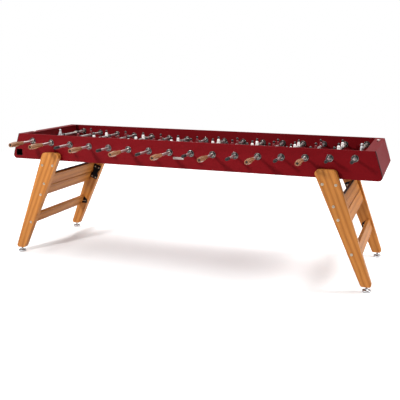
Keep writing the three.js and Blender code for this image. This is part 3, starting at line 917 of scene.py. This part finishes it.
def washers():
    """A steel washer at each end of each buffer."""
    corners = [(ROD_R, 0, 0), (WASHER_R, 0, 0.0004), (WASHER_R, WASHER, 0.0004), (ROD_R, WASHER, 0)]
    return rings(corners, (-BUMPER_OUTER, -BUMPER_INNER - WASHER, BUMPER_INNER, BUMPER_OUTER - WASHER))


# Sections of the figures, from the rod's axis and in millimetres: x, y, z, half x, half y.
MM = 0.001
TORSO = [
    (0, 0, -20, 6.5, 8.6), (0, 0, -14, 8.6, 9.6), (0, 0, -6, 10.2, 10.2), (0, 0, 0, 10.9, 10.6),
    (0, 0, 6, 10.4, 10.2), (0, 0, 14, 9.4, 10.4), (0, 0, 22, 9.6, 11.2), (0, 0, 28, 8.6, 10.8),
    (0, 0, 31.5, 5.4, 7.2),
]
LEG = [
    (0, 4.6, -14, 6.4, 4.6), (0, 4.8, -22, 6.0, 4.6), (0.3, 4.9, -32, 4.6, 4.0),
    (-0.3, 4.9, -39, 4.8, 4.0), (-0.2, 4.9, -49, 3.5, 3.4), (0, 4.9, -57, 3.9, 3.6),
]
ARM = [
    (0, 10.0, 29.8, 1.6, 1.4), (0, 10.2, 28.4, 3.2, 2.6), (0.2, 10.2, 20, 3.1, 2.6),
    (1.2, 10.2, 11, 2.8, 2.4), (3.6, 9.8, 3, 2.5, 2.2), (5.0, 9.6, -1.5, 2.3, 2.1),
    (5.6, 9.5, -4, 1.3, 1.3),
]
KEEPER_ARM = [
    (0, 9.6, 29.8, 1.6, 1.4), (0, 11.0, 28.4, 3.2, 3.4), (0.2, 15.4, 20, 3.2, 3.6),
    (1.0, 20.4, 11, 3.0, 3.4), (2.4, 24.8, 3, 2.9, 3.2), (3.0, 26.8, -1.5, 3.2, 3.2),
    (3.2, 27.8, -4.5, 1.8, 1.8),
]
BOOTS = [(0, 0, -65.4, 9.0, 10.8), (0, 0, -58, 7.8, 10.4), (0, 0, -53, 5.4, 9.0)]
NECK = [(0, 0, 28, 3.8, 4.0), (0.4, 0, 36, 3.6, 3.8)]
HEAD = (  # skull, jaw, nose, brow, hair and ears: x, y, z and three radii
    (0.2, 0, 41.2, 7.8, 7.4, 8.3), (1.8, 0, 36.8, 5.4, 5.4, 5.0), (8.0, 0, 39.4, 1.4, 1.2, 1.9),
    (6.8, 0, 43.0, 1.3, 4.8, 1.1), (-1.0, 0, 42.6, 8.1, 7.8, 6.9),
    (0.2, 7.4, 39.8, 1.6, 1.0, 2.2), (0.2, -7.4, 39.8, 1.6, 1.0, 2.2),
)


def in_metres(rows):
    return [tuple(value * MM for value in row) for row in rows]


def figure_body(arm):
    """Cast player facing +X with the rod through the hips: torso, arms, legs and kicking foot."""
    parts = [TORSO, NECK, BOOTS]
    for side in (-1, 1):
        parts += [[(x, side * y, z, rx, ry) for x, y, z, rx, ry in limb] for limb in (arm, LEG)]
    return fused([loft(in_metres(part)) for part in parts], 0.0007, 0.22)


def figure_head():
    """Plain head: skull, jaw, nose, brow, hair and ears."""
    neck = loft(in_metres([(0.1, 0, 31.8, 3.7, 3.9), (0.4, 0, 37, 3.6, 3.8)]))
    return fused([*(ball(*row) for row in in_metres(HEAD)), neck], 0.0006, 0.3)


def row_of(mesh, count):
    """One mesh of a rod's players, evenly spaced about its middle."""
    spacing = FIGURE_SPACING[count]
    return merged([(mesh, at(0, (i - (count - 1) / 2) * spacing, 0)) for i in range(count)])


def build_rods():
    tube, barrel, bolt, cap = rod_tube(), grip(), grip_bolt(), end_cap()
    rubber, steel, liner = bumpers(), washers(), sleeve()
    along = Matrix.Rotation(math.pi / 2, 4, "Z")
    barrel.transform(along.inverted())
    body, keeper, head = figure_body(ARM), figure_body(KEEPER_ARM), figure_head()
    rows = {}
    for rod in RODS:
        place = rod.matrix()
        show(f"sleeve_{rod.bush[-2:]}", liner, "bush_brass", rod.bush, rod.matrix(0), [rod.bush])
        show(f"{rod.name}_tube", tube, "rod_steel", rod.name, place, [rod.name])
        show(f"{rod.name}_grip", barrel, "grip_wood", rod.name, place @ along)
        show(f"{rod.name}_grip_bolt", bolt, "cap_rubber", rod.name, place)
        show(f"{rod.name}_cap", cap, "cap_rubber", rod.name, place)
        show(f"{rod.name}_bumpers", rubber, "bumper_rubber", rod.name, place)
        show(f"{rod.name}_washers", steel, "bolt_steel", rod.name, place)
        key = rod.shirt, rod.figures
        if key not in rows:
            shape = keeper if rod.figures == 1 else body
            rows[key] = row_of(shape, rod.figures), row_of(head, rod.figures)
        bodies, heads = rows[key]
        show(f"{rod.name}_players", bodies, rod.shirt, rod.name, place, corner=180)
        hair = "figure_grey" if rod.figures == 1 else "figure_black"
        show(f"{rod.name}_heads", heads, hair, rod.name, place, corner=180)


# ---- legs
def leg_frame(side):
    """Frame of a right-hand leg: X down its centre line, Y outward from it, Z along the table's Y."""
    axes = Matrix((LEG_DOWN, LEG_OUTWARD, (0, 1, 0))).transposed().to_4x4()
    return at(LEG_TOP_X, side * LEG_LOW.y, LEG_TOP_Z) @ axes


def on_leg(x, z):
    """A point of the leg's face, as (distance down the centre line, distance outward)."""
    dx, dz = x - LEG_TOP_X, z - LEG_TOP_Z
    sin, cos = math.sin(LEG_SLOPE), math.cos(LEG_SLOPE)
    return dx * sin - dz * cos, dx * cos + dz * sin


def leg_plank():
    """Tapered plank with rounded corners and edges, in the leg's own frame."""
    corners = [
        (LEG_TOP_X - LEG_TOP_HALF, LEG_TOP_Z, LEG_TOP_R),
        (LEG_TOP_X + LEG_TOP_HALF, LEG_TOP_Z, LEG_TOP_R),
        (LEG_BOTTOM_X + LEG_BOTTOM_HALF, LEG_BOTTOM_Z, LEG_BOTTOM_R),
        (LEG_BOTTOM_X - LEG_BOTTOM_HALF, LEG_BOTTOM_Z, LEG_BOTTOM_R),
    ]
    outline = rounded([(*on_leg(x, z), r) for x, z, r in corners], steps=10)
    plank = plate(outline, (), LEG_THICKNESS, 0.0032)
    low, high = LEG_LOW.z - 0.004, STEM_HOLE_TOP
    drill = lathe_up([(0, low), (STEM_HOLE_R, low), (STEM_HOLE_R, high), (0, high)], segments=24)
    drill.transform(at(FOOT_X, FOOT_Y, 0))
    return carved(plank, leg_frame(1), drill)


def washer_bolt(r):
    """Button-head bolt on a washer, standing on z = 0."""
    reach, rise = 1.45 * r, 0.0014
    ring = [(0, 0, 0), (reach, 0, 0), (reach, rise, 0.0004), (0, rise, 0)]
    washer = lathe_up(rounded(ring, closed=False, steps=3), segments=28)
    return merged([(washer, Matrix()), (screw_head(r, 0.0036), at(0, 0, rise - 0.0001))])


def h_plate():
    """Waisted bracket in the leg's frame, and the places of its bolts."""
    top, bottom, inner, outer, notch, r = 0.211, 0.332, -0.050, 0.012, 0.008, 0.004
    waist_top, waist_bottom = 0.250, 0.293
    corners = [
        (top, inner, r), (top, outer, r), (waist_top, outer, r), (waist_top + notch, outer - notch, r),
        (waist_bottom - notch, outer - notch, r), (waist_bottom, outer, r), (bottom, outer, r),
        (bottom, inner, r), (waist_bottom, inner, r), (waist_bottom - notch, inner + notch, r),
        (waist_top + notch, inner + notch, r), (waist_top, inner, r),
    ]
    bolts = [(down, out) for down in (0.231, 0.318) for out in (-0.036, -0.004)]
    return plate(rounded(corners, steps=3), (), BRACKET, BRACKET_EDGE), bolts


def house_plate():
    """Gabled bracket and the bar across it, in the leg's frame but drawn level with the floor."""
    x, z, half, eaves, ridge = 1.154, 0.214, 0.030, 0.032, 0.060
    corners = [(x - half, z), (x - half, z + eaves), (x, z + ridge), (x + half, z + eaves), (x + half, z)]
    outline = rounded([(*on_leg(*corner), 0.003) for corner in corners], steps=3)
    bar_half, bar_low, bar_high = 0.021, z + 0.016, z + 0.023
    bar = rectangle(x - bar_half, bar_low, x + bar_half, bar_high, 0.003)
    gable = plate(outline, (), BRACKET, BRACKET_EDGE)
    return gable, plate([Vector(on_leg(*point)) for point in bar], (), 0.002, BRACKET_EDGE)


def rail(name):
    """Board and its place, for the right-hand pair. Its own X runs along the board."""
    start, end, out = RAILS[name]
    half = LEG_LOW.y - GAP
    board = plate(rectangle(-half, 0, half, end - start, 0.0015, 3), (), RAIL_THICKNESS, 0.0022)
    axes = Matrix(((0, 1, 0), LEG_DOWN, LEG_OUTWARD)).transposed().to_4x4()
    corner = Vector((LEG_TOP_X, 0, LEG_TOP_Z)) + LEG_DOWN * start + LEG_OUTWARD * (out - RAIL_THICKNESS / 2)
    return board, at(*corner) @ axes


def leg_name(side, pair):
    """near_left and so on, for the leg on one side of the right-hand pair and its turned copy."""
    near = (side < 0) == (pair == "right")
    return f"{'near' if near else 'far'}_{pair}"


def build_legs():
    plank, (bracket, bracket_bolts), (gable, bar) = leg_plank(), h_plate(), house_plate()
    bolt, small = washer_bolt(0.0062), washer_bolt(0.0048)
    outer = merged([(bolt, at(*on_leg(x, z), LEG_THICKNESS)) for x, z in LEG_BOLTS])
    inner = merged([(small, at(*spot, 0)) for spot in bracket_bolts])
    half = LEG_LOW.y - 2 * GAP
    strap = plate(
        rectangle(-half, STRAP_FROM, half, RAIL_THICKNESS - 0.0005, 0.001), (), BRACKET, BRACKET_EDGE
    )
    on_edge = Matrix(((1, 0, 0, 0), (0, 0, -1, 0), (0, 1, 0, 0), (0, 0, 0, 1)))
    flipped = Matrix.Diagonal((1, 1, -1, 1))
    for _, _, pair, turn in HALVES:
        for side in (-1, 1):
            leg = leg_name(side, pair)
            place = turn @ leg_frame(side)
            if side < 0:
                place = place @ flipped
            show(f"plank_{leg}", plank, "teak", "table", place, [f"leg_{leg}"])
            show(f"leg_bolts_{leg}", outer, "bolt_steel", "table", place)
            inside = place @ flipped
            show(f"bracket_{leg}", bracket, "black_steel", "table", inside)
            show(f"gable_{leg}", gable, "black_steel", "table", inside)
            raised = inside @ at(0, 0, BRACKET - 0.0002)
            show(f"gable_bar_{leg}", bar, "bolt_steel", "table", raised)
            show(f"bracket_bolts_{leg}", inner, "bolt_steel", "table", raised)
        for name in RAILS:
            board, place = rail(name)
            show(f"board_{name}_{pair}", board, "teak", "table", turn @ place, [f"{name}_{pair}"])
        _, place = rail("upper_rail_high")
        show(f"rail_strap_{pair}", strap, "black_steel", "table", turn @ place @ on_edge)


def build_feet():
    """Levelling feet: rubber sole, domed steel pad, hexagon nut and threaded stem."""
    sole_r, sole_top = FOOT_R - 0.0010, 0.0036
    sole = [(0, 0, 0), (sole_r - 0.0005, 0, 0.001), (sole_r, sole_top, 0.001), (0, sole_top, 0)]
    sole = lathe_up(rounded(sole, closed=False, steps=3))
    low, top = 0.0034, 0.0150
    pad = [(0, low, 0), (FOOT_R, low, 0.0006), (FOOT_R, 0.0122, 0.0028)]
    pad += [(0.0130, 0.0136, 0.004), (0.0115, top, 0.001), (0, top, 0)]
    pad = lathe_up(rounded(pad, closed=False, steps=4))
    nut = plate(circle(0, 0, 0.0108, 6), (), 0.0062, 0.0008)
    root, crest, pitch, turns, first = 0.0049, 0.0055, 0.0018, 20, 0.0212
    stem = [(0, top)]
    for k in range(turns):
        z = first + k * pitch
        stem += [(root, z), (crest, z + pitch / 2)]
    thread = lathe_up([*stem, (0, stem[-1][1] + 0.001)], segments=24)
    steel = merged([(pad, Matrix()), (nut, at(0, 0, top - 0.0002)), (thread, Matrix())])
    for _, _, pair, turn in HALVES:
        for side in (-1, 1):
            body = f"foot_{leg_name(side, pair)}"
            place = turn @ at(FOOT_X, side * FOOT_Y, 0)
            show(f"{body}_steel", steel, "foot_steel", body, place, [body])
            show(f"{body}_sole", sole, "foot_rubber", body, place)


# ---- stage
def build_stage():
    floor = bpy.data.meshes.new("floor")
    corners = circle(0, 0, FLOOR_R, 96)
    floor.from_pydata([(x, y, 0) for x, y in corners], [], [tuple(range(len(corners)))])
    paint = Finish("floor_paint", Roughness=0.9, Specular_IOR_Level=0.1)
    drift = paint.noise((0.8,) * 3, 2.0)
    paint.colour(paint.ramp(drift, (0.3, srgb(238, 238, 238)), (0.7, srgb(242, 242, 242))))
    reach = paint.math("DIVIDE", paint.vector("LENGTH", paint.here), FLOOR_R)
    glow = paint.ramp(reach, *FLOOR_GLOW)
    paint.surface.inputs["Emission Color"].default_value = (1, 1, 1, 1)
    paint.feed(paint.surface.inputs["Emission Strength"], glow)
    floor.materials.append(paint.material)
    added("floor", floor)

    world = bpy.data.worlds.new("studio")
    world.use_nodes = True
    scene.world = world
    tree = world.node_tree
    soft = tree.nodes["Background"]
    soft.inputs["Color"].default_value = (1, 1, 1, 1)
    soft.inputs["Strength"].default_value = WORLD_STRENGTH
    seen = tree.nodes.new("ShaderNodeBackground")
    seen.inputs["Color"].default_value = (1, 1, 1, 1)
    ray = tree.nodes.new("ShaderNodeLightPath")
    choose = tree.nodes.new("ShaderNodeMixShader")
    tree.links.new(ray.outputs["Is Camera Ray"], choose.inputs["Fac"])
    tree.links.new(soft.outputs[0], choose.inputs[1])
    tree.links.new(seen.outputs[0], choose.inputs[2])
    tree.links.new(choose.outputs[0], tree.nodes["World Output"].inputs["Surface"])

    for name, place, aim, size, power in LAMPS:
        light = bpy.data.lights.new(name, "AREA")
        light.size = size
        light.energy = power
        lamp = added(name, light)
        lamp.location = place
        lamp.rotation_euler = (Vector(aim) - Vector(place)).to_track_quat("-Z", "Y").to_euler()


def build_camera():
    """Camera in front of the right end, looking across the table to its left."""
    yaw, pitch, roll = (math.radians(angle) for angle in CAMERA_ANGLES)
    level = math.cos(pitch)
    ahead = Vector((-math.sin(yaw) * level, math.cos(yaw) * level, -math.sin(pitch)))
    right = ahead.cross(Vector((0, 0, 1))).normalized()
    up = right.cross(ahead)
    right, up = (
        math.cos(roll) * right + math.sin(roll) * up,
        math.cos(roll) * up - math.sin(roll) * right,
    )
    data = bpy.data.cameras.new("camera")
    data.lens = CAMERA_LENS
    data.sensor_width = CAMERA_SENSOR
    camera = added("camera", data)
    axes = Matrix((right, up, -ahead)).transposed().to_4x4()
    camera.matrix_world = at(*CAMERA_PLACE) @ axes
    scene.camera = camera


build_camera()
build_stage()
build_cabinet()
dress_cad_nodes()
build_flanges()
build_rods()
build_legs()
build_feet()

scene.view_settings.view_transform = "Standard"
